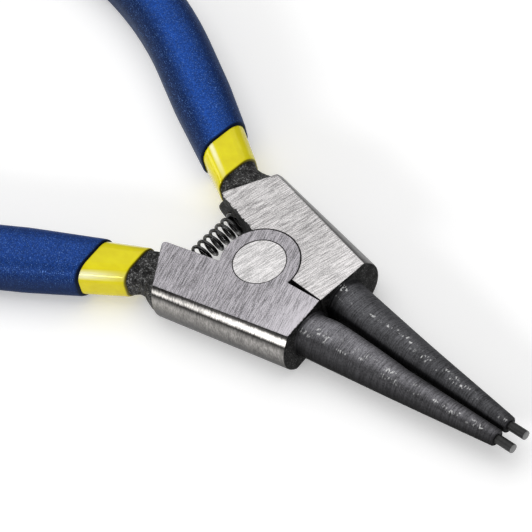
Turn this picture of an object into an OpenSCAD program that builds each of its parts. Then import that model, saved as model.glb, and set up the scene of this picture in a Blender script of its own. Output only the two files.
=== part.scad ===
// External circlip pliers, straight nose, shown closed
// +X points to the tips, +Y to the left half, +Z up; the rivet axis is at x = 0, y = 0
// and z = 0 is the head's ground underside. Millimetres.

/* [Whole tool] */
// Length from the ends of the grips to the ends of the tip pins
overall_length = 180; // [165:1:200]
// Piece to draw, or all

/* [Head] */
// Thickness between the two ground faces
head_thickness = 10; // [9:0.1:12]
// Front inner corner, distance ahead of the rivet
front_inner_x = 15.4; // [14:0.1:17]
// Gap between the two front inner corners when closed
front_gap = 0.2; // [0.1:0.05:0.6]
// Front outer corner of the ground face, distance ahead of the rivet
front_outer_x = 16.2; // [15:0.1:18]
// Front outer corner of the ground face, distance from the centre line
front_outer_y = 9.5; // [9.3:0.1:11]
// Back outer corner of the ground face, distance behind the rivet
back_outer_x = 12.75; // [11:0.05:14]
// Back outer corner of the ground face, distance from the centre line
back_outer_y = 15.8; // [15:0.1:18]
// Back inner corner, distance behind the rivet
back_inner_x = 18.65; // [18:0.05:20]
// Back inner corner, distance from the centre line
back_inner_y = 7.1; // [6.5:0.1:8]
// Rounding of the back inner corner
back_inner_round = 0.6; // [0.4:0.1:1.4]
// Inner edge where it meets the ear, distance behind the rivet
inner_edge_x = 7; // [6:0.1:8]
// Inner edge where it meets the ear, distance from the centre line
inner_edge_y = 4.4; // [4.2:0.05:5]
// Half of the wedge gap between the halves beside the ear
notch_y = 0.5; // [0.3:0.05:0.8]
// How far the barrelled outer side stands out at mid thickness, at its front
front_bulge = 2.7; // [2.2:0.1:3]
// How far the barrelled outer side stands out at mid thickness, at its back
back_bulge = 1.7; // [1.4:0.1:2.2]
// How far the back inner corner stands out backwards at mid thickness
corner_rise = 1.4; // [0.6:0.1:1.6]
// How far the same corner stands out towards the centre line
corner_swell = 0.6; // [0.3:0.1:0.8]
// Length of the inner side over which that rise fades out
corner_fade = 5; // [3:0.1:6]
// How much further out the left half's outer side and handle lie
left_extra = 1.6; // [0:0.1:2]
// How much further out the left half's inner side lies
left_inner_extra = 0.5; // [0:0.1:0.8]
// How much further forward the left half's back corners lie
left_back_shift = 1; // [0:0.1:1.4]
// How much further out the left half's nose starts
left_nose_extra = 0.6; // [0:0.1:0.8]

/* [Lap joint] */
// Radius of the round ear of each half
ear_radius = 7.65; // [7.2:0.05:8]
// Clearance round the ear in the other half's recess
ear_clear = 0.2; // [0.1:0.05:0.4]
// Clearance between the two ears, face to face
lap_clear = 0.1; // [0.05:0.05:0.3]
// Radius of the rivet's flush heads
rivet_head_radius = 5.05; // [4.6:0.05:5.6]
// Radius of the rivet's shank
rivet_shank_radius = 3.6; // [3:0.1:4.2]
// Straight depth of the rivet's heads before their cones
rivet_head_depth = 1; // [0.6:0.1:1.4]
// Radial running clearance of the rivet in the left half
run_clear = 0.05; // [0.02:0.01:0.1]
// Clearance of seats between pieces of one half
seat_clear = 0.02; // [0.01:0.01:0.05]

/* [Nose] */
// Nose axis at the head's front, distance ahead of the rivet
nose_base_x = 16; // [15:0.1:17]
// Nose axis at the head's front, distance from the centre line
nose_base_y = 4.75; // [4.5:0.05:5]
// Radius of the nose at the head's front
nose_base_radius = 4.15; // [3.8:0.05:4.2]
// Middle of the nose, where its inner side comes near the centre line, distance ahead of the rivet
nose_middle_x = 36; // [32:1:40]
// Middle of the nose, distance of its axis from the centre line
nose_middle_y = 3.3; // [3.25:0.05:3.5]
// Radius of the nose at its middle
nose_middle_radius = 3.1; // [2.8:0.05:3.15]
// Nose end, distance ahead of the rivet
nose_end_x = 58.6; // [55:0.1:62]
// Nose end, distance from the centre line
nose_end_y = 1.72; // [1.7:0.01:1.9]
// Radius of the nose at its end
nose_end_radius = 1.62; // [1.5:0.01:1.65]
// Bevel round the nose's end
nose_bevel = 0.25; // [0.1:0.05:0.4]
// Fillet between the nose and the head's front
nose_fillet = 0.45; // [0.2:0.05:0.5]

/* [Tip pins] */
// Radius of the tip pins
pin_radius = 0.9; // [0.75:0.05:1]
// Radius of the pins' tapered seats at the nose's end
pin_seat_radius = 0.75; // [0.6:0.05:0.8]
// Taper of the pins' seats, loss of radius over their length
pin_seat_taper = 0.15; // [0.05:0.05:0.3]
// Length of pin standing out of the nose
pin_reach = 3.8; // [3:0.1:5]
// Length of pin seated in the nose
pin_seat = 6; // [4:0.5:9]
// Distance of each pin's axis from the centre line
pin_y = 1.75; // [1.7:0.05:1.9]
// Bevel on the pins' ends
pin_bevel = 0.15; // [0.05:0.05:0.3]

/* [Spring] */
// Spring axis, distance behind the rivet
spring_x = 13.6; // [12.5:0.1:14]
// Outer radius of the coil
coil_radius = 2.15; // [1.9:0.05:2.3]
// Radius of the spring wire
wire_radius = 0.35; // [0.25:0.05:0.4]
// Turns of the coil
coil_turns = 11; // [9:1:13]
// Depth of the spring's ends from the centre line
spring_half_length = 9.2; // [8.5:0.1:10]
// Clearance round the coil in its pockets
pocket_clear = 0.25; // [0.15:0.05:0.4]

/* [Handles] */
// Start of the handle axis inside the head, distance behind the rivet
tang_x = 14; // [13.5:0.1:14.5]
// Start of the handle axis inside the head, distance from the centre line
tang_y = 9.4; // [9.2:0.1:9.6]
// Angle between the handle and the centre line, and of the bend that makes its end parallel
handle_angle = 28.5; // [26:0.5:31]
// Straight run of the handle axis before the bend
straight_run = 42; // [36:1:46]
// Radius of the bend
bend_radius = 95; // [80:1:110]
// Width of the steel core at its neck
neck_width = 7.7; // [7:0.1:7.8]
// Thickness of the steel core at its neck
neck_thickness = 7.1; // [6.5:0.1:7.6]
// Width of the steel core in the grip
core_width = 10.1; // [9.4:0.1:11]
// Thickness of the steel core in the grip
core_thickness = 8; // [7.4:0.1:8.1]
// Corner radius of the core as a share of half its thickness
corner_share = 0.69; // [0.5:0.01:0.8]
// Distance along the handle axis where the core leaves the head
root_at = 1; // [0.8:0.1:1.2]
// Distance along the handle axis where the neck starts
neck_at = 4.8; // [4.6:0.1:5]
// Distance along the handle axis where the core has its full size
full_at = 30; // [26:1:34]
// Flare of the core's outer side at the head
root_flare = 2.8; // [2:0.1:3]
// Tuck of the core's inner side at the head
root_tuck = 1.1; // [1:0.1:1.4]
// Flare of the core's thickness at the head
root_rise = 1.6; // [1:0.1:1.8]
// Length of the rounded end of each handle
end_round = 6; // [5:0.1:7]

/* [Sleeves] */
// Collar's front rim where it crosses the handle axis, distance behind the rivet
collar_x = 20; // [19.8:0.1:21]
// Grip's rim where it crosses the handle axis, distance behind the rivet
grip_x = 27.8; // [27:0.1:30]
// Collar's length under the grip
collar_lap = 6; // [4:0.5:8]
// Angle of the rims from square to the centre line
rim_angle = 6; // [0:1:12]
// Wall of the collar
collar_wall = 0.45; // [0.35:0.05:0.55]
// Wall of the grip where it lies on the core
grip_wall = 0.9; // [0.8:0.05:1]
// Clearance of the sleeves on the core and on each other
sleeve_clear = 0.05; // [0.03:0.01:0.08]
// Room between the end of the core and the end of the grip
end_room = 2.5; // [1.5:0.1:4]

/* [Hidden] */
$fn = 72;
mid = head_thickness / 2;
recess_radius = ear_radius + ear_clear;
pocket_radius = coil_radius + pocket_clear;
bend_length = bend_radius * handle_angle * PI / 180;
bend_end_x = tang_x + straight_run * cos(handle_angle) + bend_radius * sin(handle_angle);
bend_end = straight_run + bend_length;
handle_end = bend_end + overall_length - nose_end_x - pin_reach - bend_end_x;
cut = 1;
corner_low = 0.4;
corner_root = 0.15;
nose_root = 0.4;
nose_step = 0.03;
far = 40;
run_out = 12;
wire_sides = 8;
rings_per_turn = 14;
corner_steps = 4;

// Corner rounding in the plan
function way(p, q) = (q - p) / norm(q - p);
function half_corner(p, a, b) = acos(way(p, a) * way(p, b)) / 2;
function tangent_point(p, a, b, r) = p + way(p, a) * r / tan(half_corner(p, a, b));
function round_centre(p, a, b, r) =
    p + (way(p, a) + way(p, b)) / norm(way(p, a) + way(p, b)) * r / sin(half_corner(p, a, b));

// Plan of a ground face in the left half's place; left is 1 for the left half's own sizes, else 0
function front_inner() = [front_inner_x, front_gap / 2];
function front_outer(left) = [front_outer_x, front_outer_y + left * left_extra];
function back_outer(left) = [left * left_back_shift - back_outer_x, back_outer_y + left * left_extra];
function back_inner(left) = [left * left_back_shift - back_inner_x, back_inner_y + left * left_inner_extra];
function inner_edge(left) = [-inner_edge_x, inner_edge_y + left * left_inner_extra];
function notch() = [ear_radius, notch_y];

module turned_over() {
    translate([0, 0, head_thickness])
        rotate([180, 0, 0])
            children();
}

module along_x() {
    rotate([0, 90, 0])
        children();
}

// Plan outline run out past the barrelled side
module head_plan(left) {
    reach = 2 * front_bulge;
    a = back_outer(left);
    b = inner_edge(left);
    p = back_inner(left);
    side = way(a, front_outer(left));
    front_far = front_outer(left) + way(front_inner(), front_outer(left)) * reach;
    back_far = a + [-side[1], side[0]] * reach;
    polygon([
        front_inner(),
        front_far,
        back_far,
        a,
        tangent_point(p, a, b, back_inner_round),
        tangent_point(p, b, a, back_inner_round),
        b,
        notch()
    ]);
    translate(round_centre(p, a, b, back_inner_round))
        circle(r = back_inner_round);
}

// Round of a barrelled side that stands out by h
function bulge_radius(h) = (mid * mid + h * h) / (2 * h);

// Cone that rounds the outer side, along X with the ground face's edge at y = 0
module barrel(long) {
    back = [0, back_bulge - bulge_radius(back_bulge)];
    front = [long, front_bulge - bulge_radius(front_bulge)];
    step = (front - back) / long;
    thin = (bulge_radius(back_bulge) - bulge_radius(front_bulge)) / long;
    start = back - step * run_out;
    translate([start[0], start[1], mid])
        rotate([0, 0, atan2(step[1], step[0])])
            along_x()
                cylinder(
                    h = norm(step) * (long + 2 * run_out),
                    r1 = bulge_radius(back_bulge) + thin * run_out,
                    r2 = bulge_radius(front_bulge) - thin * run_out
                );
}

module head_blank(left) {
    run = front_outer(left) - back_outer(left);
    intersection() {
        linear_extrude(head_thickness)
            head_plan(left);
        translate(back_outer(left))
            rotate([0, 0, atan2(run[1], run[0])]) {
                translate([-run_out, -far, 0])
                    cube([norm(run) + 2 * run_out, far, head_thickness]);
                barrel(norm(run));
            }
    }
}

// Rise of the back inner corner, a low pyramid across the corner
module corner_pad(left) {
    p = back_inner(left);
    d = way(p, inner_edge(left));
    e = way(p, back_outer(left));
    n = [d[1], -d[0]];
    a = p + d * corner_fade - n * corner_root;
    b = p + e * corner_fade / 2 + d * corner_root;
    top = p - d * corner_rise + n * corner_swell;
    low = corner_low;
    high = head_thickness - corner_low;
    polyhedron(
        [[b[0], b[1], low], [b[0], b[1], high], [a[0], a[1], high], [a[0], a[1], low], [top[0], top[1], mid]],
        [[1, 2, 4], [2, 3, 4], [3, 0, 4], [0, 1, 4], [0, 3, 2, 1]]
    );
}

// Rivet with two flush heads, grown by c for its seats and run past the faces by e
module rivet_form(c, e) {
    cone = rivet_head_radius - rivet_shank_radius;
    low = rivet_head_depth + c;
    high = head_thickness - low;
    rotate_extrude()
        polygon([
            [0, -e],
            [rivet_head_radius + c, -e],
            [rivet_head_radius + c, low],
            [rivet_shank_radius + c, low + cone],
            [rivet_shank_radius + c, high - cone],
            [rivet_head_radius + c, high],
            [rivet_head_radius + c, head_thickness + e],
            [0, head_thickness + e]
        ]);
}

// Places a turned shape along X on the line from p to q
module on_line(p, q) {
    translate([p[0], p[1], mid])
        rotate([0, 0, atan2(q[1] - p[1], q[0] - p[0])])
            along_x()
                rotate_extrude()
                    children();
}

// Round nose in two tapers, with a fillet at the head
module nose(left) {
    base = [nose_base_x, nose_base_y + left * left_nose_extra];
    middle = [nose_middle_x, nose_middle_y];
    end = [nose_end_x, nose_end_y];
    long = norm(middle - base);
    rest = norm(end - middle);
    slope = (nose_base_radius - nose_middle_radius) / long;
    fillet = [
        for (a = [0 : 15 : 90])
            let (s = nose_fillet * (1 - cos(a)))
            [nose_base_radius + nose_fillet * (1 - sin(a)) - s * slope, s]
    ];
    on_line(base, middle)
        polygon(concat(
            [[0, -2], [nose_base_radius + nose_fillet, -2]],
            fillet,
            [
                [nose_middle_radius, long],
                [nose_middle_radius - nose_bevel, long + nose_bevel],
                [0, long + nose_bevel]
            ]
        ));
    on_line(middle, end)
        polygon([
            [0, -nose_root],
            [nose_middle_radius - nose_step, -nose_root],
            [nose_end_radius, rest - nose_bevel],
            [nose_end_radius - nose_bevel, rest],
            [0, rest]
        ]);
}

// Tapered seat of a pin, grown by c for its bore and run past the nose's end by e
module pin_taper(c, e) {
    cylinder(
        h = pin_seat + e,
        r1 = pin_seat_radius - pin_seat_taper + c,
        r2 = pin_seat_radius + pin_seat_taper * e / pin_seat + c
    );
}

module on_pin_axis() {
    translate([nose_end_x - pin_seat, pin_y, mid])
        along_x()
            children();
}

module pin_form() {
    on_pin_axis() {
        translate([0, 0, seat_clear])
            pin_taper(0, seat_clear);
        translate([0, 0, pin_seat + seat_clear])
            cylinder(h = pin_reach - pin_bevel - seat_clear, r = pin_radius);
        translate([0, 0, pin_seat + pin_reach - pin_bevel])
            cylinder(h = pin_bevel, r1 = pin_radius, r2 = pin_radius - pin_bevel);
    }
}

// Left handle's axis: how far it has turned, its direction and its points, s along it
function ease(s, from, to) = (1 - cos(180 * min(1, max(0, (s - from) / (to - from))))) / 2;
function turn(s) = min(handle_angle, max(0, (s - straight_run) / bend_radius * 180 / PI));
function axis_point(s) =
    let (
        u = min(s, straight_run),
        e = handle_angle - turn(s),
        v = max(0, s - bend_end)
    )
    [
        -tang_x - u * cos(handle_angle) - bend_radius * (sin(handle_angle) - sin(e)) - v,
        tang_y + u * sin(handle_angle) + bend_radius * (cos(e) - cos(handle_angle)),
        mid
    ];
function axis_way(s) = [-cos(handle_angle - turn(s)), sin(handle_angle - turn(s)), 0];
function axis_at(x) = (x - tang_x) / cos(handle_angle);

// Half sizes of the core's section
function taper(s) = min(1, max(0, (s - neck_at) / (full_at - neck_at)));
function half_width(s) = (neck_width + (core_width - neck_width) * taper(s)) / 2;
function half_thickness(s) =
    (neck_thickness + (core_thickness - neck_thickness) * taper(s) + root_rise * flare(s)) / 2;
function flare(s) = 1 - ease(s, root_at, neck_at);

// Rounded section at s, grown by o and then scaled by k
function ring(s, o, k) =
    let (
        outer = half_width(s) + root_flare * flare(s) + o,
        inner = half_width(s) - root_tuck * flare(s) + o,
        b = half_thickness(s) + o,
        r = corner_share * half_thickness(s) + o,
        p = axis_point(s),
        w = axis_way(s)
    )
    [
        for (c = [0 : 3])
            for (j = [0 : corner_steps])
                let (
                    t = 90 * (c + j / corner_steps),
                    u = (c == 0 || c == 3 ? outer - r : r - inner) + r * cos(t),
                    v = (c < 2 ? b - r : r - b) + r * sin(t)
                )
                [p[0] + k * u * w[1], p[1] - k * u * w[0], p[2] + k * v]
    ];

// Section of the tapering run in a rim's plane, which crosses the axis at x
function rim_ring(x, o) =
    let (
        s = axis_at(x),
        p = axis_point(s),
        m = [-cos(rim_angle), sin(rim_angle), 0],
        near = ring(s, o, 1),
        next = ring(s + 1, o, 1)
    )
    [
        for (k = [0 : len(near) - 1])
            let (g = next[k] - near[k])
            near[k] + g * (((p - near[k]) * m) / (g * m))
    ];

// Rings from the full section to the rounded end
function handle_rings(end, o) =
    concat(
        [ring(full_at, o, 1)],
        [for (i = [0 : 10]) ring(straight_run + bend_length * i / 10, o, 1)],
        [for (t = [0 : 20 : 80]) ring(end - end_round * (1 - sin(t) / sin(80)), o, cos(t))]
    );
function back_to_front(list) = [for (i = [len(list) - 1 : -1 : 0]) list[i]];

// Solid through a list of rings, closed by its end faces or by joining its last ring to its first
module skin(rings, looped) {
    n = len(rings);
    m = len(rings[0]);
    sides = [
        for (i = [0 : n - (looped ? 1 : 2)])
            for (k = [0 : m - 1])
                let (
                    a = i * m + k,
                    b = i * m + (k + 1) % m,
                    c = (i + 1) % n * m + k,
                    d = (i + 1) % n * m + (k + 1) % m
                )
                each [[a, b, d], [a, d, c]]
    ];
    ends = looped ? [] : [
        [for (k = [m - 1 : -1 : 0]) k],
        [for (k = [0 : m - 1]) (n - 1) * m + k]
    ];
    polyhedron([for (q = rings) each q], concat(sides, ends));
}

module core() {
    skin(
        concat(
            [ring(-root_at, -root_at, 0.8)],
            [for (i = [0 : 4]) ring(root_at + (neck_at - root_at) * i / 4, 0, 1)],
            handle_rings(handle_end - end_room, 0)
        ),
        false
    );
}

// One forging in the left half's place: ear underneath, recess on top
module arm(left, rivet_clear) {
    difference() {
        union() {
            difference() {
                union() {
                    head_blank(left);
                    corner_pad(left);
                }
                translate([0, 0, mid - lap_clear / 2])
                    cylinder(h = head_thickness, r = recess_radius);
            }
            cylinder(h = mid - lap_clear / 2, r = ear_radius);
            nose(left);
            translate([0, left * left_extra, 0])
                core();
        }
        rivet_form(rivet_clear, cut);
        on_pin_axis()
            pin_taper(seat_clear, cut);
        translate([-spring_x, 0, mid])
            rotate([-90, 0, 0])
                cylinder(h = spring_half_length + seat_clear, r = pocket_radius);
    }
}

module collar() {
    end_x = grip_x + collar_lap;
    skin(
        [
            rim_ring(collar_x, collar_wall),
            rim_ring(end_x, collar_wall),
            rim_ring(end_x, sleeve_clear),
            rim_ring(collar_x, sleeve_clear)
        ],
        true
    );
}

// Sleeve from its inner end out to the rim and back along its outside
module grip() {
    step_x = grip_x + collar_lap + sleeve_clear;
    skin(
        concat(
            back_to_front(handle_rings(handle_end - end_room + sleeve_clear, sleeve_clear)),
            [
                rim_ring(step_x, sleeve_clear),
                rim_ring(step_x, collar_wall + sleeve_clear),
                rim_ring(grip_x, collar_wall + sleeve_clear),
                rim_ring(grip_x, grip_wall)
            ],
            handle_rings(handle_end, grip_wall)
        ),
        false
    );
}

module right_arm() {
    color([0.62, 0.61, 0.62])
        turned_over()
            arm(0, seat_clear);
}

module left_arm() {
    color([0.7, 0.69, 0.69])
        arm(1, run_clear);
}

module pivot_rivet() {
    color([0.76, 0.75, 0.74])
        rivet_form(0, 0);
}

// Round wire wound on a helix along Y
module return_spring() {
    r = coil_radius - wire_radius;
    n = coil_turns * rings_per_turn;
    rise = (2 * spring_half_length - 2 * wire_radius) / n;
    tilt = atan(rise * n / (360 * coil_turns * PI / 180 * r));
    points = [
        for (i = [0 : n])
            let (a = 360 * i / rings_per_turn)
            for (k = [0 : wire_sides - 1])
                let (
                    b = 360 * k / wire_sides,
                    out = r + wire_radius * cos(b),
                    up = wire_radius * sin(b)
                )
                [
                    out * cos(a) + up * sin(tilt) * sin(a),
                    -spring_half_length + wire_radius + rise * i + up * cos(tilt),
                    out * sin(a) - up * sin(tilt) * cos(a)
                ]
    ];
    sides = [
        for (i = [0 : n - 1])
            for (k = [0 : wire_sides - 1])
                let (
                    p = i * wire_sides + k,
                    q = i * wire_sides + (k + 1) % wire_sides
                )
                [p, q, q + wire_sides, p + wire_sides]
    ];
    ends = [
        [for (k = [wire_sides - 1 : -1 : 0]) k],
        [for (k = [0 : wire_sides - 1]) n * wire_sides + k]
    ];
    color([0.08, 0.08, 0.09])
        translate([-spring_x, 0, mid])
            polyhedron(points, concat(sides, ends));
}

module right_tip_pin() {
    color([0.2, 0.2, 0.21])
        turned_over()
            pin_form();
}

module left_tip_pin() {
    color([0.2, 0.2, 0.21])
        pin_form();
}

module right_collar() {
    color([0.93, 0.85, 0.05])
        turned_over()
            collar();
}

module left_collar() {
    color([0.93, 0.85, 0.05])
        translate([0, left_extra, 0])
            collar();
}

module right_grip() {
    color([0.1, 0.17, 0.4])
        turned_over()
            grip();
}

module left_grip() {
    color([0.1, 0.17, 0.4])
        translate([0, left_extra, 0])
            grip();
}

right_arm();
left_arm();
pivot_rivet();
return_spring();
right_tip_pin();
left_tip_pin();
right_collar();
left_collar();
right_grip();
left_grip();
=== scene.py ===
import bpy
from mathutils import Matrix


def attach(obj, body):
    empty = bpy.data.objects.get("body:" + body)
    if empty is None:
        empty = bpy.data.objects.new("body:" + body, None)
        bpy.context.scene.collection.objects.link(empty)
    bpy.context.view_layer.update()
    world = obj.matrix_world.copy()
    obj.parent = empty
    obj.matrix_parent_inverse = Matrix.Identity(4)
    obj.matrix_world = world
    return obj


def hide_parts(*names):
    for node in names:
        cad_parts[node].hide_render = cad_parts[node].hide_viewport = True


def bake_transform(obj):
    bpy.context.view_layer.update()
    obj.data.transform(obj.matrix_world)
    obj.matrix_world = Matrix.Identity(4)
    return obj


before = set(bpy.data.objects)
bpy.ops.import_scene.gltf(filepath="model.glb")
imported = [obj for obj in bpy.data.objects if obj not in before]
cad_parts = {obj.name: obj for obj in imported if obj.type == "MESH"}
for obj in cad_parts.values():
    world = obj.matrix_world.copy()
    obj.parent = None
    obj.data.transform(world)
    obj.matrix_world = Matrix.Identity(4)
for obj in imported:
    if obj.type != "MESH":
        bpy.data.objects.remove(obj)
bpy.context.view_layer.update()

import math

import bmesh
import bpy
from mathutils import Matrix, Vector, noise

mm = 0.001
weld = 0.0004  # points this close are one
hardLimit = 26  # degrees above which an edge of steel stays sharp
softLimit = 50  # the same for sleeves and wire
midHeight = 5  # middle plane of the halves
headTall = 10
handleLean = 28.5  # degrees between a handle's straight run and the centre line
handleBend = 95  # radius of a handle's curve
rimLean = 6  # degrees by which the sleeves' rims are off square
print("stage: frame loaded,", len(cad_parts), "solids")


# shader helpers

class Wire:  # one socket of a shader tree, with maths on it
    def __init__(self, tree, out):
        self.tree = tree
        self.out = out

    def node(self, kind, setup, sockets, give=0):
        made = self.tree.nodes.new(kind)
        for key, value in setup.items():
            if key == "stops":
                ramp = made.color_ramp.elements
                while len(ramp) < len(value):
                    ramp.new(1.0)
                for stop, (place, tone) in zip(ramp, value):
                    stop.position = place
                    stop.color = (tone, tone, tone, 1)
            else:
                setattr(made, key, value)
        for key, value in sockets.items():
            if isinstance(value, Wire):
                self.tree.links.new(value.out, made.inputs[key])
            else:
                made.inputs[key].default_value = value
        return Wire(self.tree, made.outputs[give])

    def maths(self, how, a, b):
        return self.node("ShaderNodeMath", {"operation": how}, {0: a, 1: b})

    def __add__(self, other):
        return self.maths("ADD", self, other)

    def __radd__(self, other):
        return self.maths("ADD", other, self)

    def __sub__(self, other):
        return self.maths("SUBTRACT", self, other)

    def __rsub__(self, other):
        return self.maths("SUBTRACT", other, self)

    def __mul__(self, other):
        return self.maths("MULTIPLY", self, other)

    def grain(self, size, turn=0.0, detail=2.0, rough=0.5):  # noise with cells of this size, turned about Z
        at = self.node("ShaderNodeMapping", {"vector_type": "TEXTURE"},
                       {"Vector": self, "Rotation": (0, 0, turn), "Scale": size})
        return self.node("ShaderNodeTexNoise", {}, {"Vector": at, "Scale": 1.0, "Detail": detail, "Roughness": rough})

    def clamp(self):
        return self.node("ShaderNodeClamp", {}, {0: self})

    def ramp(self, *stops):
        return self.node("ShaderNodeValToRGB", {"stops": stops}, {0: self})

    def between(self, low, high):  # this value, 0 to 1, mixes two colours
        return self.node("ShaderNodeMix", {"data_type": "RGBA"}, {0: self, 6: low, 7: high}, 2)

    def bump(self, strength, depth):
        return self.node("ShaderNodeBump", {}, {"Strength": strength, "Distance": depth, "Height": self})

    def axis(self, which):
        return self.node("ShaderNodeSeparateXYZ", {}, {0: self}, which)


def startMaterial(name):
    made = bpy.data.materials.new(name)
    made.use_nodes = True
    tree = made.node_tree
    return made, tree.nodes["Principled BSDF"], Wire(tree, tree.nodes.new("ShaderNodeTexCoord").outputs["Object"])


def setShader(shader, **values):
    for key, value in values.items():
        into = shader.inputs[{"colour": "Base Color", "rough": "Roughness", "metal": "Metallic", "normal": "Normal",
                              "coat": "Coat Weight", "coatRough": "Coat Roughness", "spec": "Specular IOR Level",
                              "tint": "Specular Tint"}[key]]
        if isinstance(value, Wire):
            value.tree.links.new(value.out, into)
        else:
            into.default_value = value


def grey(tone, warm=0.0):
    return (tone * (1 + warm), tone, tone * (1 - warm * 0.4), 1)


# finishes

def groundFace(name, look):  # flat belt-ground steel with straight grinding lines and worn edges
    made, shader, place = startMaterial(name)
    turn = math.radians(look["turn"])
    wide = place.grain((0.009, 0.0007, 0.009), turn, 2.0)
    mid = place.grain((0.004, 0.00026, 0.004), turn, 2.0, 0.6)
    fine = place.grain((0.0022, 0.00014, 0.0022), turn, 2.0, 0.6)
    hair = place.grain((0.005, 0.0001, 0.005), turn + 0.06, 1.0)
    speck = place.grain((0.0002,) * 3, 0.0, 1.0)
    cloud = place.grain((0.004,) * 3, 0.0, 3.0)
    chips = place.grain((0.0007,) * 3, 0.0, 3.0, 0.7)
    lines = wide.ramp((0.38, 0.0), (0.62, 1.0)) * 0.08 + mid.ramp((0.4, 0.0), (0.6, 1.0)) * 0.08
    lines = lines + fine.ramp((0.44, 0.0), (0.56, 1.0)) * 0.5 + speck.ramp((0.42, 0.0), (0.58, 1.0)) * 0.34
    scratch = hair.ramp((0.6, 0.0), (0.7, 1.0))
    lift = (place.axis(0) * 70 - 0.4).clamp()  # lighter towards the noses
    tone = lines + cloud * 0.3 + lift * look["lift"] - scratch * 0.35 - 0.16
    steel = tone.between(look["dark"], look["light"])
    for at, out, depth, ahead in look["worn"]:  # forging skin left along an edge, as far ahead as this
        depthIn = (place.axis(0) - at[0] * mm) * -out[0] + (place.axis(1) - at[1] * mm) * -out[1]
        depthIn = depthIn.maths("MAXIMUM", depthIn, place.axis(0) - ahead * mm)
        worn = (depthIn - chips.ramp((0.4, 0.0), (0.7, 1.0)) * depth * mm) * 9000.0 + 0.2
        steel = worn.clamp().between(grey(0.03), steel)
    setShader(shader, colour=steel, metal=1.0, rough=0.36 + lines * 0.12, normal=(lines - scratch).bump(0.25, 0.00002))
    return made


def groundSide(name, look):  # barrelled side, ground round the curve, with painted reflection: runs of light and dark under its edge
    made, shader, place = startMaterial(name)
    turn = math.radians(look["turn"])
    fine = place.grain((0.00024, 0.0012, 0.0009), turn, 3.0, 0.7)
    wide = place.grain((0.0008, 0.006, 0.003), turn, 2.0)
    cloud = place.grain((0.003, 0.003, 0.0015), 0.0, 3.0)
    edge = place.grain((0.0003, 0.002, 0.002), turn, 3.0, 0.8)
    # painted reflection and shade: light and dark bands by height along the barrel
    high = place.axis(2) * 100 + edge * 0.06 - 0.03
    bands = high.ramp(*look["bands"])
    lines = fine.ramp((0.4, 0.0), (0.6, 1.0)) * 0.7 + wide.ramp((0.38, 0.0), (0.62, 1.0)) * 0.3
    tone = bands * (0.3 + lines * 0.8 + cloud * 0.4)
    setShader(shader, colour=tone.between(grey(look["dark"], 0.02), look["light"]), metal=1.0,
              rough=0.28 + lines * 0.14, normal=(lines + cloud).bump(0.3, 0.00004))
    return made


def forgedBlack(name, look):  # scaled forging skin, pitted and speckled
    made, shader, place = startMaterial(name)
    lump = place.grain((0.0013,) * 3, 0.0, 3.0)
    pit = place.grain((0.0004,) * 3, 0.0, 3.0, 0.7)
    speck = place.grain((0.00028,) * 3, 0.0, 1.0)
    spark = speck.ramp((0.55, 0.0), (0.64, 1.0)) * lump.ramp((0.34, 0.0), (0.56, 1.0))
    tone = lump.ramp((0.38, 0.0), (0.62, 1.0)) * 0.6 + pit.ramp((0.36, 0.0), (0.64, 1.0)) * 0.4
    skin = tone.between(grey(look["dark"], 0.03), grey(look["light"], 0.02))
    setShader(shader, colour=spark.between(skin, grey(look["spark"])), metal=0.3, spec=0.35, tint=grey(0.5),
              rough=0.66 - spark * 0.2, normal=(lump * 0.6 + pit).bump(look["bump"], 0.00025))
    return made


def turnedNose(name, look):  # blackened steel with fine turning rings round the nose, painted glints, painted shade underneath and at the root, and painted light and shade across it
    made, shader, place = startMaterial(name)
    turn = math.radians(look["turn"])
    rings = place.grain((0.00022, 0.004, 0.004), turn, 2.0, 0.6)
    bands = place.grain((0.0011, 0.009, 0.009), turn, 2.0)
    cloud = place.grain((0.0030, 0.0016, 0.0016), turn, 3.0)
    rub = place.grain((0.0003,) * 3, turn, 3.0, 0.7)
    paintedGlint = place.grain((0.0003, 0.0007, 0.0007), turn, 1.0)
    glintPatch = place.grain((0.0024, 0.0012, 0.0012), turn, 1.0)
    girth = 0.0052 - place.axis(0) * 0.0592  # radius of the nose here
    rise = girth.maths("DIVIDE", place.axis(2) - midHeight * mm, girth)
    side = girth.maths("DIVIDE", place.axis(1) - (look["axis"][0] * mm + place.axis(0) * look["axis"][1]), girth)
    # painted shade: darker on the underside of the nose
    paintedUnderShade = (rise * 0.5 + 0.5).ramp((0.1, 0.02), (0.5, 0.22), (0.76, 0.72), (0.94, 1.0))
    tip = (place.axis(0) * 10).ramp((0.34, 1.0), (0.41, 0.8), (0.5, 0.85), (0.57, 0.6))
    # painted glints, in patches along one band of the nose's girth
    glintBand = (rise * 0.479 - side * 0.144).ramp((0.44, 0.0), (0.475, 1.0), (0.515, 1.0), (0.54, 0.0))
    glintBand = glintBand * (side * 0.5 + 0.5).ramp((0.2, 0.0), (0.28, 1.0))
    spark = paintedGlint.ramp((0.52, 0.0), (0.62, 1.0)) * glintPatch.ramp((0.51, 0.0), (0.6, 1.0)) * glintBand
    lines = rings.ramp((0.36, 0.0), (0.64, 1.0))
    # painted light and shade across the nose's girth
    across = (rise * 0.21 + side * 0.45 + 0.5).ramp(*look["across"])
    # painted shade at the nose's root against the head
    root = (place.axis(0) * 10).ramp((look["root"] - 0.012, 0.25), (look["root"], 1.0))
    tone = lines * 0.4 + bands * 0.15 + cloud * 0.3 + rub.ramp((0.38, 0.0), (0.62, 1.0)) * 0.3 - 0.05
    tone = tone * paintedUnderShade * tip * across * root
    steel = tone.between(grey(look["dark"]), look["light"])
    setShader(shader, colour=spark.between(steel, grey(look["spark"])), metal=0.7, spec=0.4, tint=grey(0.35),
              rough=0.5 - spark * 0.2, normal=(lines * 0.9 + rub * 0.6).bump(0.45, 0.00005))
    return made


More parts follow.
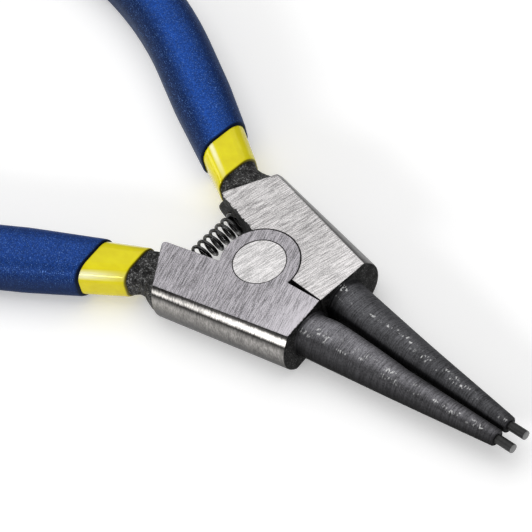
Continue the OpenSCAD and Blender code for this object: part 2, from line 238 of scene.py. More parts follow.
def rimShade(place, look):  # painted shadow along a sleeve's rim: 0 at the rim, 1 a little way behind it
    lean = math.radians(rimLean)
    behind = (place.axis(0) - look["rim"][0] * mm) * -math.cos(lean)
    behind = behind + (place.axis(1) - look["rim"][1] * mm) * math.copysign(math.sin(lean), look["rim"][1])
    return (behind * 1000).ramp(*look["shade"])


def acrossHandle(place, look):  # distance from a handle's straight axis, outward positive
    lean = math.radians(handleLean)
    across = (place.axis(0) - look["rim"][0] * mm) * math.sin(lean)
    return across + (place.axis(1) - look["rim"][1] * mm) * math.cos(lean) * math.copysign(1, look["rim"][1])


def paintedCornerHighlight(place, look):  # painted highlight streak: on the right collar low on its outer corner, on the left one high on its inner corner
    rise = place.axis(2) * 100
    if look["rim"][1] < 0:
        return rise.ramp((0.7, 0.0), (0.77, 1.0), (0.83, 1.0), (0.88, 0.0))
    band = (acrossHandle(place, look) * 100 + 0.5).ramp((0.19, 0.0), (0.23, 1.0), (0.27, 1.0), (0.31, 0.0))
    return band * rise.ramp((0.45, 0.0), (0.55, 1.0))


def glossVinyl(name, look):  # dipped yellow vinyl, with a painted highlight streak on a corner, painted shade low on its side and painted shadow at the rim
    made, shader, place = startMaterial(name)
    cloud = place.grain((0.004, 0.0028, 0.0028), 0.0, 2.0).ramp((0.36, 0.0), (0.64, 1.0))
    ripple = place.grain((0.0024,) * 3, 0.0, 1.0)
    dust = place.grain((0.00014,) * 3, 0.0, 1.0).ramp((0.68, 0.0), (0.76, 1.0))
    # painted shade: darker towards the lower side
    tall = (place.axis(2) * 100).ramp((0.4, 0.0), (0.85, 0.5))
    vinyl = (cloud * 0.5 + tall - dust * 0.5).between(look["dark"], look["light"])
    # the painted highlight fades towards the head end
    fade = (place.axis(0) * -100 - 2).ramp((0.05, 0.2), (0.6, 0.95))
    vinyl = (paintedCornerHighlight(place, look) * fade).between(vinyl, look["shine"])
    setShader(shader, colour=rimShade(place, look).between(look["rimTone"], vinyl), rough=0.08 + cloud * 0.04,
              spec=0.5, tint=(1, 0.92, 0.22, 1), coat=0.06, coatRough=0.03, normal=ripple.bump(0.3, 0.0002))
    return made


def glitterVinyl(name, look):  # satin blue vinyl with fine metal flake in it, with painted sheen lightest along the handle's crown and painted shade low on its sides
    made, shader, place = startMaterial(name)
    flake = place.grain((0.00017,) * 3, 0.0, 1.0)
    soft = place.grain((0.0004,) * 3, 0.0, 2.0, 0.6)
    cloud = place.grain((0.005,) * 3, 0.0, 2.0)
    spark = flake.ramp((0.64, 0.0), (0.7, 1.0))
    lean = math.radians(handleLean)
    outward = math.copysign(1, look["rim"][1])
    back = (place.axis(0) - look["rim"][0] * mm) * -math.cos(lean)
    back = back + (place.axis(1) - look["rim"][1] * mm) * math.sin(lean) * outward
    bent = back.maths("MAXIMUM", back - look["straight"] * mm, 0.0)  # past the straight run the axis turns away
    across = acrossHandle(place, look) + bent * bent * (0.5 / (handleBend * mm))
    # painted sheen: lightest along the handle's crown
    crown = (across * 85 + 0.5).ramp(*look["crown"])
    # painted shade: darker lower down
    tall = place.axis(2).ramp((0.0, 0.1), (0.006, 0.35), (0.0088, 1.0))
    tone = (cloud * 0.25 + soft.ramp((0.36, 0.0), (0.64, 1.0)) * 0.35 + 0.2) * tall * crown
    vinyl = (spark * tall * 0.6).between(tone.between(look["dark"], look["light"]), look["flake"])
    setShader(shader, colour=rimShade(place, look).between(look["rimTone"], vinyl), metal=0.3 + spark * 0.3,
              spec=0.2, tint=(0.4, 0.6, 1, 1), rough=0.5 - spark * 0.15,
              normal=(soft + flake * 0.5).bump(0.3, 0.00005))
    return made


def blackWire(name, look):  # oiled black spring wire
    made, shader, place = startMaterial(name)
    drawn = place.grain((0.0004, 0.0002, 0.0004), 0.0, 2.0)
    setShader(shader, colour=drawn.between(grey(look["dark"]), grey(look["light"])), metal=0.2, spec=0.8,
              rough=0.12 + drawn * 0.1, normal=drawn.bump(0.15, 0.00002))
    return made


def tipPin(name, look):  # dark pin with a bright ground end
    made, shader, place = startMaterial(name)
    rings = place.grain((0.00018, 0.003, 0.003), 0.0, 2.0)
    cloud = place.grain((0.0006,) * 3, 0.0, 2.0)
    bright = ((place.axis(0) - look["endFrom"] * mm) * (1 / (look["endFade"] * mm))).clamp()
    dull = (rings * 0.5 + cloud * 0.5).between(grey(look["dark"]), grey(look["light"]))
    setShader(shader, colour=bright.between(dull, grey(look["end"])), metal=0.8, rough=0.4 + rings * 0.1,
              normal=rings.bump(0.2, 0.00002))
    return made


finishes = {
    "leftFace": {"turn": 74, "dark": (0.17, 0.165, 0.165, 1), "light": (0.82, 0.795, 0.795, 1), "lift": 0.3,
                 "worn": [((-17.65, 7.6), (-0.246, -0.969), 0.45, -7), ((-11.75, 17.4), (-0.857, 0.516), 0.2, 20)]},
    "rightFace": {"turn": -72, "dark": (0.1, 0.097, 0.102, 1), "light": (0.57, 0.545, 0.58, 1), "lift": 0.6,
                  "worn": [((-18.65, -7.1), (-0.828, -0.561), 0.15, 20), ((15.4, -0.1), (0.9965, 0.083), 0.25, 20)]},
    "rivetFace": {"turn": 75, "dark": (0.3, 0.295, 0.295, 1), "light": (0.92, 0.895, 0.895, 1), "lift": 0.0,
                  "worn": []},
    # band stops are painted reflection and shade down the barrels; the left barrel is a darker, shaded copy of the
    # right one
    "leftSide": {"turn": -13.2, "dark": 0.01, "light": (0.4, 0.39, 0.39, 1),
                 "bands": ((0.0, 0.4), (0.9, 0.5), (0.97, 0.25), (1.0, 0.15))},
    "rightSide": {"turn": 12.2, "dark": 0.01, "light": (1.0, 0.96, 0.92, 1),
                  "bands": ((0.0, 0.03), (0.3, 0.03), (0.4, 0.075), (0.55, 0.2), (0.7, 0.33), (0.75, 0.26),
                            (0.81, 0.055), (0.835, 0.03), (0.875, 0.95), (0.897, 1.0), (0.925, 0.4), (0.957, 0.03),
                            (1.0, 0.02))},
    "forged": {"dark": 0.003, "light": 0.03, "spark": 0.07, "bump": 0.9},
    "tang": {"dark": 0.001, "light": 0.055, "spark": 0.22, "bump": 1.0},
    # painted light and shade: across shades each nose round its girth, root darkens its base, the left nose is a darker
    # copy of the right, spark is the painted glint tone
    "leftNose": {"turn": -4.9, "dark": 0.004, "light": (0.2, 0.2, 0.215, 1), "spark": 0.5, "axis": (6.71, -0.0852),
                 "root": 0.175,
                 "across": ((0.25, 0.35), (0.35, 0.62), (0.5, 0.78), (0.65, 0.9), (0.8, 0.9), (0.92, 1.0))},
    "rightNose": {"turn": 4.1, "dark": 0.004, "light": (0.42, 0.412, 0.444, 1), "spark": 0.5, "axis": (-5.89, 0.0711),
                  "root": 0.167,
                  "across": ((0.0, 0.2), (0.3, 0.21), (0.42, 0.26), (0.5, 0.42), (0.6, 0.66), (0.75, 0.84),
                             (0.9, 0.92))},
    # painted highlight colour for the collar corners, and painted shadow tone at the rim
    "yellow": {"dark": (0.7, 0.57, 0.003, 1), "light": (0.84, 0.75, 0.006, 1), "shine": (1, 0.97, 0.58, 1),
               "rimTone": (0.1, 0.075, 0.002, 1), "shade": ((0.0, 0.0), (0.12, 0.1), (0.3, 1.0))},
    # painted shadow tone at the grip's rim
    "blue": {"dark": (0.003, 0.008, 0.03, 1), "flake": (0.2, 0.4, 0.9, 1), "rimTone": (0.002, 0.004, 0.012, 1),
             "shade": ((0.0, 0.0), (0.3, 0.05), (0.65, 1.0)), "straight": 26.3},
    "wire": {"dark": 0.004, "light": 0.022},
    "pin": {"dark": 0.012, "light": 0.06, "end": 0.22, "endFrom": 62.2, "endFade": 0.06},
}
looks = {
    "leftFace": groundFace("leftGround", finishes["leftFace"]),
    "rightFace": groundFace("rightGround", finishes["rightFace"]),
    "rivetFace": groundFace("rivetGround", finishes["rivetFace"]),
    "leftSide": groundSide("leftBarrel", finishes["leftSide"]),
    "rightSide": groundSide("rightBarrel", finishes["rightSide"]),
    "forged": forgedBlack("forgedSkin", finishes["forged"]),
    "tang": forgedBlack("tangSkin", finishes["tang"]),
    "leftNose": turnedNose("leftNose", finishes["leftNose"]),
    "rightNose": turnedNose("rightNose", finishes["rightNose"]),
    "leftYellow": glossVinyl("leftYellow", finishes["yellow"] | {"rim": (-20, 14.26)}),
    "rightYellow": glossVinyl("rightYellow", finishes["yellow"] | {"rim": (-20, -12.66)}),
    # painted light and shade: the left grip is a brighter lit copy of the right, each with its own crown of painted
    # sheen
    "leftBlue": glitterVinyl("leftBlue", finishes["blue"] | {
        "rim": (-27.8, 18.49), "light": (0.022, 0.135, 0.7, 1),
        "crown": ((0.0, 0.03), (0.2, 0.22), (0.42, 1.0), (0.6, 0.75), (0.85, 0.25), (1.0, 0.08))}),
    "rightBlue": glitterVinyl("rightBlue", finishes["blue"] | {
        "rim": (-27.8, -16.89), "light": (0.022, 0.1, 0.5, 1),
        "crown": ((0.0, 0.3), (0.2, 0.7), (0.45, 1.0), (0.75, 0.9), (0.95, 0.6), (1.0, 0.5))}),
    "wire": blackWire("springWire", finishes["wire"]),
    "pin": tipPin("tipSteel", finishes["pin"]),
}
print("stage: finishes made,", len(looks))


# mesh helpers, all shapes in millimetres until a piece is finished

def turnOver(bm):  # half a turn about the centre line, for the right half
    bmesh.ops.rotate(bm, verts=bm.verts, cent=(0, 0, midHeight), matrix=Matrix.Rotation(math.pi, 3, "X"))


def paint(bm, slot):
    for face in bm.faces:
        face.material_index = slot


def asObject(bm, name, materials):
    mesh = bpy.data.meshes.new(name)
    bm.to_mesh(mesh)
    bm.free()
    for made in materials:
        mesh.materials.append(made)
    piece = bpy.data.objects.new(name, mesh)
    bpy.context.scene.collection.objects.link(piece)
    return piece


def combine(piece, tool, how):  # joins or cuts two closed shapes
    step = piece.modifiers.new("shape", "BOOLEAN")
    step.operation = how
    step.solver = "EXACT"
    step.object = tool
    bpy.context.view_layer.update()
    shaped = bpy.data.meshes.new_from_object(piece.evaluated_get(bpy.context.evaluated_depsgraph_get()))
    piece.modifiers.remove(step)
    old = piece.data
    piece.data = shaped
    shaped.name = piece.name
    bpy.data.meshes.remove(old)
    bpy.data.objects.remove(tool)


def smoothByAngle(bm, limit):  # smooth but for sharp edges and the flat ground faces
    for face in bm.faces:
        face.smooth = abs(face.normal.z) < 0.9995
    for edge in bm.edges:
        edge.smooth = len(edge.link_faces) != 2 or edge.calc_face_angle() < math.radians(limit)


def finishMesh(piece, limit):  # welds, shades and scales to metres
    bm = bmesh.new()
    bm.from_mesh(piece.data)
    bmesh.ops.remove_doubles(bm, verts=bm.verts, dist=weld)
    smoothByAngle(bm, limit)
    loose = sum(not edge.is_manifold for edge in bm.edges)
    volume = bm.calc_volume()
    bmesh.ops.scale(bm, vec=(mm, mm, mm), verts=bm.verts)
    bm.to_mesh(piece.data)
    bm.free()
    print("stage:", piece.name, len(piece.data.polygons), "faces,", loose, "open edges,", round(volume), "cubic mm")


def settle(piece, body, node, limit=hardLimit):  # finished mesh, and its place in the frame
    finishMesh(piece, limit)
    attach(piece, body)
    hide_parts(node)


def lathe(profile, steps):  # closed turned shape about X from (along, radius) points
    bm = bmesh.new()
    made = [bm.verts.new((s, r, 0)) for s, r in profile]
    edges = [bm.edges.new(pair) for pair in zip(made, made[1:])]
    bmesh.ops.spin(bm, geom=made + edges, cent=(0, 0, 0), axis=(1, 0, 0), angle=2 * math.pi, steps=steps,
                   use_merge=True)
    bmesh.ops.remove_doubles(bm, verts=bm.verts, dist=weld)
    bmesh.ops.recalc_face_normals(bm, faces=bm.faces)
    return bm


def nextRing(bm, ring, points):  # extrudes a ring of edges and sets it on new points
    edges = [bm.edges.get((a, b)) for a, b in zip(ring, ring[1:] + ring[:1])]
    fresh = {v for v in bmesh.ops.extrude_edge_only(bm, edges=edges)["geom"] if isinstance(v, bmesh.types.BMVert)}
    grown = [next(e.other_vert(v) for e in v.link_edges if e.other_vert(v) in fresh) for v in ring]
    for v, p in zip(grown, points):
        v.co = p
    return grown


def loft(rings, closed):  # skin through rings of points, capped at both ends or run round to its start
    bm = bmesh.new()
    first = bmesh.ops.create_circle(bm, segments=len(rings[0]), radius=1)["verts"]
    for v, p in zip(first, rings[0]):
        v.co = p
    ring = first
    for points in rings[1:]:
        ring = nextRing(bm, ring, points)
    ends = [[bm.edges.get((a, b)) for a, b in zip(r, r[1:] + r[:1])] for r in (first, ring)]
    if closed:
        bmesh.ops.bridge_loops(bm, edges=ends[0] + ends[1])
    else:
        for edges in ends:
            bmesh.ops.edgeloop_fill(bm, edges=edges)
    bmesh.ops.recalc_face_normals(bm, faces=bm.faces)
    return bm


# handle axis and its sections, left half

handleShape = {
    "tang": (-14, 9.4), "straight": 42, "length": 117.6, "neck": (7.7, 7.1), "full": (10.1, 8.0), "corner": 0.69,
    "rootAt": 1, "neckAt": 4.8, "fullAt": 30, "tuck": 1.1, "rise": 1.6, "endRound": 6, "endTurn": 1.45, "endRoom": 2.5,
    "cornerSteps": 7, "straightSteps": 12, "bendSteps": 24, "endSteps": 9,
}


def ease(t):
    return (1 - math.cos(math.pi * min(1, max(0, t)))) / 2


def handleAxis(s):  # point and outward direction this far along
    h = handleShape
    lean = math.radians(handleLean)
    left = lean - min(lean, max(0, (s - h["straight"]) / handleBend))
    run = min(s, h["straight"])
    rest = max(0, s - h["straight"] - handleBend * lean)
    x = h["tang"][0] - run * math.cos(lean) - handleBend * (math.sin(lean) - math.sin(left)) - rest
    y = h["tang"][1] + run * math.sin(lean) + handleBend * (math.cos(left) - math.cos(lean))
    return Vector((x, y, midHeight)), Vector((math.sin(left), math.cos(left), 0))


def section(s, grow, share=1.0, spread=0.0):  # rounded section across the axis
    h = handleShape
    flare = 1 - ease((s - h["rootAt"]) / (h["neckAt"] - h["rootAt"]))
    part = min(1, max(0, (s - h["neckAt"]) / (h["fullAt"] - h["neckAt"])))
    wide = (h["neck"][0] + (h["full"][0] - h["neck"][0]) * part) / 2
    tall = (h["neck"][1] + (h["full"][1] - h["neck"][1]) * part + h["rise"] * flare) / 2
    r = h["corner"] * tall + grow
    outer = wide + spread + grow
    inner = wide - h["tuck"] * flare + grow
    tall += grow
    at, side = handleAxis(s)
    points = []
    for c in range(4):
        for k in range(h["cornerSteps"] + 1):
            t = math.pi / 2 * (c + k / h["cornerSteps"])
            u = (outer - r if c in (0, 3) else r - inner) + r * math.cos(t)
            v = (tall - r if c < 2 else r - tall) + r * math.sin(t)
            points.append(at + side * (u * share) + Vector((0, 0, v * share)))
    return points


def rimSection(x, grow):  # the section where a rim's plane crosses the taper
    s = (x + handleShape["tang"][0]) / math.cos(math.radians(handleLean))
    at = handleAxis(s)[0]
    turn = math.radians(rimLean)
    square = Vector((-math.cos(turn), math.sin(turn), 0))
    points = []
    for a, b in zip(section(s, grow), section(s + 1, grow)):
        along = b - a
        points.append(a + along * ((at - a).dot(square) / along.dot(square)))
    return points


def handleStops(first):  # stations from the taper to the start of the rounded end
    h = handleShape
    turned = handleBend * math.radians(handleLean)
    stops = [first + (h["straight"] - first) * k / h["straightSteps"] for k in range(h["straightSteps"] + 1)]
    return stops + [h["straight"] + turned * k / h["bendSteps"] for k in range(1, h["bendSteps"] + 1)]


def handleEnd():
    h = handleShape
    lean = math.radians(handleLean)
    last = -h["tang"][0] + h["straight"] * math.cos(lean) + handleBend * math.sin(lean)
    return h["straight"] + handleBend * lean + h["length"] - last


def roundEnd(end, grow):
    r, last, steps = (handleShape[key] for key in ("endRound", "endTurn", "endSteps"))
    turns = [last * k / steps for k in range(steps + 1)]
    return [section(end - r * (1 - math.sin(t) / math.sin(last)), grow, math.cos(t)) for t in turns]


# forged halves

headShape = {
    "frontInner": (15.4, 0.1), "frontOuter": (16.2, 9.5), "backOuter": (-12.75, 15.8), "backInner": (-18.65, 7.1),
    "innerEdge": (-7, 4.4), "notch": (7.65, 0.5), "backRound": 1.1, "bulge": (2.7, 1.7), "recess": 7.85, "ear": 7.65,
    "earSteps": (56, 84), "lap": 4.95, "rivet": (5.1, 3.65), "seatDepth": 1.05, "boreZone": 6, "edge": 0.1,
    "faceDepth": 0.2,
    "levels": (0.4, 1.05, 1.8, 2.65, 3.8, 4.95, 5.9, 6.9, 7.8, 8.6, 9.4, 10),
}
leftShift = {
    "frontOuter": (0, 1.6), "backOuter": (1, 1.6), "backInner": (1, 0.5), "innerEdge": (0, 0.5),
    "handle": 1.6, "nose": 0.6,
}
armSlots = {"face": 0, "side": 1, "forged": 2, "nose": 3, "tang": 4}


def crossing(p, q, r):  # where the line from p to q leaves or enters a circle about the rivet
    d = q - p
    a, b, c = d.dot(d), 2 * p.dot(d), p.dot(p) - r * r
    root = math.sqrt(b * b - 4 * a * c)
    t = [k for k in ((-b - root) / (2 * a), (-b + root) / (2 * a)) if 0 <= k <= 1][0]
    return p + d * t


def bulgeAt(high, z):  # how far the barrelled side stands out at this height
    r = (midHeight ** 2 + high * high) / (2 * high)
    return high - r + math.sqrt(r * r - (z - midHeight) ** 2)


def headSolid(isLeft):
    h = headShape
    order = ("frontInner", "frontOuter", "backOuter", "backInner", "innerEdge")
    corner = {key: Vector(h[key]) for key in order + ("notch",)}
    for key in corner:
        if isLeft and key in leftShift:
            corner[key] += Vector(leftShift[key])
    hollowEnd = crossing(corner["innerEdge"], corner["notch"], h["recess"])
    hollowStart = crossing(corner["notch"], corner["frontInner"], h["recess"])
    a0, a1 = (math.atan2(p.y, p.x) for p in (hollowStart, hollowEnd))
    bm = bmesh.new()
    sweeps = ((a0, a1 - a0, (h["rivet"][0], h["ear"], h["recess"])),
              (a1, 2 * math.pi - a1 + a0, (h["rivet"][0], h["ear"])))
    for (start, sweep, radii), steps in zip(sweeps, h["earSteps"]):
        spoke = [bm.verts.new((r * math.cos(start), r * math.sin(start), 0)) for r in radii]
        edges = [bm.edges.new(pair) for pair in zip(spoke, spoke[1:])]
        bmesh.ops.spin(bm, geom=spoke + edges, cent=(0, 0, 0), axis=(0, 0, 1), angle=sweep, steps=steps)
    bmesh.ops.remove_doubles(bm, verts=bm.verts, dist=weld)
    ear = list(bm.faces)
    rim = [e for e in bm.edges if all(abs(v.co.length - h["recess"]) < 0.001 for v in e.verts)]
    ends = [min((v for e in rim for v in e.verts), key=lambda v: (v.co.xy - p).length)
            for p in (hollowStart, hollowEnd)]
    outline = [bm.verts.new((*corner[key], 0)) for key in order]
    chain = [ends[0]] + outline + [ends[1]]
    loop = rim + [bm.edges.new(pair) for pair in zip(chain, chain[1:])]
    bmesh.ops.edgeloop_fill(bm, edges=loop)
    bmesh.ops.bevel(bm, geom=[outline[order.index("backInner")]], offset=h["backRound"],
                    offset_type="OFFSET", segments=4, profile=0.5, affect="VERTICES", material=-1)
    plate = [f for f in bm.faces if f not in set(ear)]
    way = (corner["frontOuter"] - corner["backOuter"]).normalized()
    out = Vector((-way.y, way.x))
    frontWay = (corner["frontOuter"] - corner["frontInner"]).normalized()
    frontLean = frontWay.dot(out)
    caps = ear + plate
    low = 0
    for z in h["levels"]:
        if low == h["lap"]:  # above the lap only the plate goes on
            top = [f for f in caps if f.calc_center_median().xy.length > h["recess"] or len(f.verts) > 8]
        else:
            top = caps
        made = bmesh.ops.extrude_face_region(bm, geom=top)["geom"]
        caps = [f for f in made if isinstance(f, bmesh.types.BMFace)]
        for v in (v for v in made if isinstance(v, bmesh.types.BMVert)):
            flat = v.co.xy
            if flat.length < h["boreZone"]:  # bore, narrowing to the rivet's shank
                flat = flat.normalized() * max(h["rivet"][1], h["rivet"][0] - max(0, z - h["seatDepth"]))
            elif (flat - corner["frontOuter"] - frontWay * bulgeAt(h["bulge"][0], low) / frontLean).length < 0.01:
                flat = corner["frontOuter"] + frontWay * bulgeAt(h["bulge"][0], z) / frontLean
            elif (flat - corner["backOuter"] - out * bulgeAt(h["bulge"][1], low)).length < 0.01:
                flat = corner["backOuter"] + out * bulgeAt(h["bulge"][1], z)
            v.co = (flat.x, flat.y, z)
        if low > 0:  # the sheet that was lifted stays only as the underside
            bmesh.ops.delete(bm, geom=top, context="FACES")
        low = z
    bmesh.ops.recalc_face_normals(bm, faces=bm.faces)
    bottom, upper = h["faceDepth"], headTall - h["faceDepth"]
    sharp = [e for e in bm.edges if len(e.link_faces) == 2 and e.calc_face_angle() > 0.5
             and not (e.verts[0].co.xy.length < h["boreZone"] and bottom < e.verts[0].co.z < upper)]
    bmesh.ops.bevel(bm, geom=sharp, offset=h["edge"], offset_type="OFFSET", segments=2, profile=0.5, affect="EDGES",
                    material=-1, clamp_overlap=True)
    for face in bm.faces:
        at = face.calc_center_median()
        beyond = (at.xy - corner["backOuter"]).dot(out)
        atFace = at.z < bottom or at.z > upper
        if abs(face.normal.z) > 0.3 and atFace and at.xy.length > h["rivet"][0] + 0.09:  # not the bore's bevel
            face.material_index = armSlots["face"]
        elif beyond > -0.05 and face.normal.xy.dot(out) > 0.3:
            face.material_index = armSlots["side"]
        else:
            face.material_index = armSlots["forged"]
    return bm


cornerShape = {"rise": 1.4, "swell": 0.6, "fade": 5, "low": 0.4, "root": 0.15, "round": 1.2}


def cornerSolid(isLeft):  # swelling of the back inner corner
    c = cornerShape
    p, q, r = (Vector(headShape[key]) + Vector(leftShift[key]) * isLeft
               for key in ("backInner", "innerEdge", "backOuter"))
    along = (q - p).normalized()
    inward = Vector((along.y, -along.x))
    foot = p + along * c["fade"] - inward * c["root"]
    heel = p + (r - p).normalized() * c["fade"] / 2 + along * c["root"]
    top = p - along * c["rise"] + inward * c["swell"]
    bm = bmesh.new()
    bmesh.ops.create_cone(bm, cap_ends=True, segments=4, radius1=1, radius2=0, depth=1)
    bmesh.ops.remove_doubles(bm, verts=bm.verts, dist=weld)
    base = sorted((v for v in bm.verts if v.co.z < 0), key=lambda v: math.atan2(v.co.y, v.co.x))
    tip = next(v for v in bm.verts if v.co.z > 0)
    high = headTall - c["low"]
    for v, (at, z) in zip(base, ((heel, c["low"]), (heel, high), (foot, high), (foot, c["low"]))):
        v.co = (*at, z)
    tip.co = (*top, midHeight)
    bmesh.ops.recalc_face_normals(bm, faces=bm.faces)
    bmesh.ops.bevel(bm, geom=[tip], offset=c["round"], offset_type="OFFSET", segments=3, profile=0.5, affect="VERTICES",
                    material=-1)
    paint(bm, armSlots["forged"])
    return bm


noseShape = {
    "base": (16, 4.75), "middle": (36, 3.3), "end": (58.6, 1.72), "radii": (4.15, 3.1, 1.62), "fillet": 0.45,
    "bevel": 0.25, "squareAt": (16, 21.5, 38), "square": 4.0, "apart": (0.3, 0.1), "blend": 4, "root": 2,
    "sides": 64, "steps": 40, "filletSteps": 6,
}


def noseSolid(out):  # turned shape whose axis leans in to the centre line
    n = noseShape
    x0, x1, x2 = (n[key][0] for key in ("base", "middle", "end"))
    ys = (n["base"][1] + out, n["middle"][1], n["end"][1])

    def along(x, values):
        if x < x1:
            return values[0] + (values[1] - values[0]) * max(0, x - x0) / (x1 - x0)
        return values[1] + (values[2] - values[1]) * (x - x1) / (x2 - x1)

    def soft(x, values):  # the two tapers run into each other
        reach = min(n["blend"], (x - x0) / 2, (x2 - x) / 2)
        if reach <= 0:
            return along(x, values)
        return sum(along(x + reach * k, values) for k in (-1, -0.5, 0, 0.5, 1)) / 5

    f = n["fillet"]
    last = x2 - n["bevel"]
    thin = n["radii"][2]
    profile = [(x0 - n["root"], 0), (x0 - n["root"], n["radii"][0] + f)]
    for k in range(n["filletSteps"] + 1):
        t = math.pi / 2 * k / n["filletSteps"]
        x = x0 + f * (1 - math.cos(t))
        profile.append((x, along(x, n["radii"]) + f * (1 - math.sin(t))))
    stations = [x0 + f + (last - x0 - f) * k / n["steps"] for k in range(1, n["steps"])]
    profile += [(x, soft(x, n["radii"])) for x in stations]
    profile += [(last, thin), (x2 - 0.08, thin - 0.12), (x2, thin - n["bevel"] - 0.03), (x2, 0)]  # rounded end
    bm = lathe(profile, n["sides"])
    for v in bm.verts:
        x, r = v.co.x, math.hypot(v.co.y, v.co.z)
        s0, s1, s2 = n["squareAt"]
        part = ease(min((x - s0) / (s1 - s0), (s2 - x) / (s2 - s1)))
        apart = n["apart"][0] + out + (n["apart"][1] - n["apart"][0] - out) * min(1, max(0, (x - x0) / (x1 - x0)))
        at = soft(x, ys)
        if v.co.y < 0:  # the side that faces the other nose is filled out and flat behind the middle
            power = 2 + (n["square"] - 2) * part
            grow = ((-v.co.y / r) ** power + (abs(v.co.z) / r) ** power) ** (-1 / power)
            wide = max(1, (at - apart) / soft(x, n["radii"]))
            v.co.y = max(apart - at, v.co.y * grow * wide) if x < x1 else v.co.y * grow
            v.co.z *= grow
        v.co += Vector((0, at, midHeight))
    paint(bm, armSlots["nose"])
    return bm


tangShape = {
    "spread": {"left": (3.0, 0.8, 7.6), "right": (3.5, 2.2, 6.4)}, "buried": (-1, -1, 0.8), "from": 1, "step": 0.45,
    "steps": 20, "plainFrom": 10.5, "roughTo": -22.5, "roughFade": 2.5, "lumps": ((0.9, 0.16), (2.3, 0.07)),
}


def tangSolid(side):  # steel core, rough where it shows, spread towards the head on its outer side
    g = tangShape
    most, start, end = g["spread"][side]
    stops = [g["buried"]] + [(g["from"] + g["step"] * k, 0, 1) for k in range(g["steps"])]
    rings = [section(s, grow, share, most * (1 - ease((s - start) / (end - start)))) for s, grow, share in stops]
    rings += [section(s, 0) for s in handleStops(g["plainFrom"])]
    rings += roundEnd(handleEnd() - handleShape["endRoom"], 0)
    bm = loft(rings, False)
    for v in bm.verts:
        show = ease((v.co.x - g["roughTo"]) / g["roughFade"])
        v.co += v.normal * sum(noise.noise(v.co * often) * high for often, high in g["lumps"]) * show
    bmesh.ops.translate(bm, verts=bm.verts, vec=(0, leftShift["handle"] * (side == "left"), 0))
    paint(bm, armSlots["tang"])
    return bm


springShape = {
    "x": -13.6, "coil": 1.95, "wire": 0.36, "half": 9.2, "turns": 11, "wireSides": 12, "turnSteps": 28,
    "pocket": 2.4, "pocketSides": 48, "clear": 0.02,
}


def pocketTool():  # drill for the spring's seat
    p = springShape
    deep = p["half"] + p["clear"]
    bm = lathe([(-1, 0), (-1, p["pocket"]), (deep, p["pocket"]), (deep, 0)], p["pocketSides"])
    bmesh.ops.rotate(bm, verts=bm.verts, cent=(0, 0, 0), matrix=Matrix.Rotation(math.pi / 2, 3, "Z"))
    bmesh.ops.translate(bm, verts=bm.verts, vec=(p["x"], 0, midHeight))
    paint(bm, armSlots["forged"])
    return bm


pinShape = {
    "y": 1.75, "from": 52.6, "seat": 6, "to": 62.4, "radius": 0.9, "root": (0.6, 0.75), "bevel": 0.15,
    "clear": 0.02, "past": 0.5, "sides": 40,
}


def pinTool():  # tapered reamer for a pin's seat
    p = pinShape
    slope = (p["root"][1] - p["root"][0]) / p["seat"]
    mouth = p["seat"] + p["past"]
    bm = lathe([(0, 0), (0, p["root"][0] + p["clear"]), (mouth, p["root"][1] + p["clear"] + slope * p["past"]),
                (mouth, 0)], p["sides"])
    bmesh.ops.translate(bm, verts=bm.verts, vec=(p["from"], p["y"], midHeight))
    paint(bm, armSlots["forged"])
    return bm


for side in ("left", "right"):
    isLeft = side == "left"
    slots = [looks[side + "Face"], looks[side + "Side"], looks["forged"], looks[side + "Nose"], looks["tang"]]
    shapes = [headSolid(isLeft), noseSolid(leftShift["nose"] * isLeft), tangSolid(side),
              cornerSolid(isLeft), pocketTool(), pinTool()]
    for bm in shapes:
        if not isLeft:
            turnOver(bm)
    kinds = ("Forging", "Nose", "Tang", "Corner", "Drill", "Reamer")
    arm, nose, tang, swell, drill, reamer = (asObject(bm, side + kind, slots) for bm, kind in zip(shapes, kinds))
    for added in (swell, nose, tang):
        combine(arm, added, "UNION")
    for tool in (drill, reamer):
        combine(arm, tool, "DIFFERENCE")
    settle(arm, side + "_half", side + "_arm")


# rivet

rivetShape = {"head": 5.05, "shank": 3.6, "depth": 1.0, "edge": 0.1, "sides": 96}


def makeRivet():
    r = rivetShape
    cone = r["head"] - r["shank"]
    half = [(0, 0), (0, r["head"] - r["edge"]), (r["edge"] * 0.3, r["head"] - r["edge"] * 0.3), (r["edge"], r["head"]),
            (r["depth"], r["head"]), (r["depth"] + cone, r["shank"])]
    bm = lathe(half + [(headTall - s, q) for s, q in reversed(half)], r["sides"])
    bmesh.ops.rotate(bm, verts=bm.verts, cent=(0, 0, 0), matrix=Matrix.Rotation(-math.pi / 2, 3, "Y"))
    for face in bm.faces:
        face.material_index = 0 if abs(face.normal.z) > 0.9 else 1
    return asObject(bm, "flushRivet", [looks["rivetFace"], looks["forged"]])


settle(makeRivet(), "right_half", "pivot_rivet")


# return spring

def makeSpring():
    p = springShape
    bm = bmesh.new()
    first = bmesh.ops.create_circle(bm, segments=p["wireSides"], radius=p["wire"])["verts"]
    bmesh.ops.translate(bm, verts=first, vec=(p["x"] + p["coil"], -p["half"] + p["wire"], midHeight))
    steps = p["turns"] * p["turnSteps"]
    rise = 2 * (p["half"] - p["wire"]) / steps
    bmesh.ops.spin(bm, geom=first + list(bm.edges), cent=(p["x"], 0, midHeight), axis=(0, 1, 0), dvec=(0, rise, 0),
                   angle=2 * math.pi * p["turns"], steps=steps)
    bmesh.ops.holes_fill(bm, edges=[e for e in bm.edges if e.is_boundary], sides=0)
    bmesh.ops.recalc_face_normals(bm, faces=bm.faces)
    return asObject(bm, "coilSpring", [looks["wire"]])


spring = makeSpring()
finishMesh(spring, softLimit)
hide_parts("return_spring")
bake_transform(spring)


# tip pins

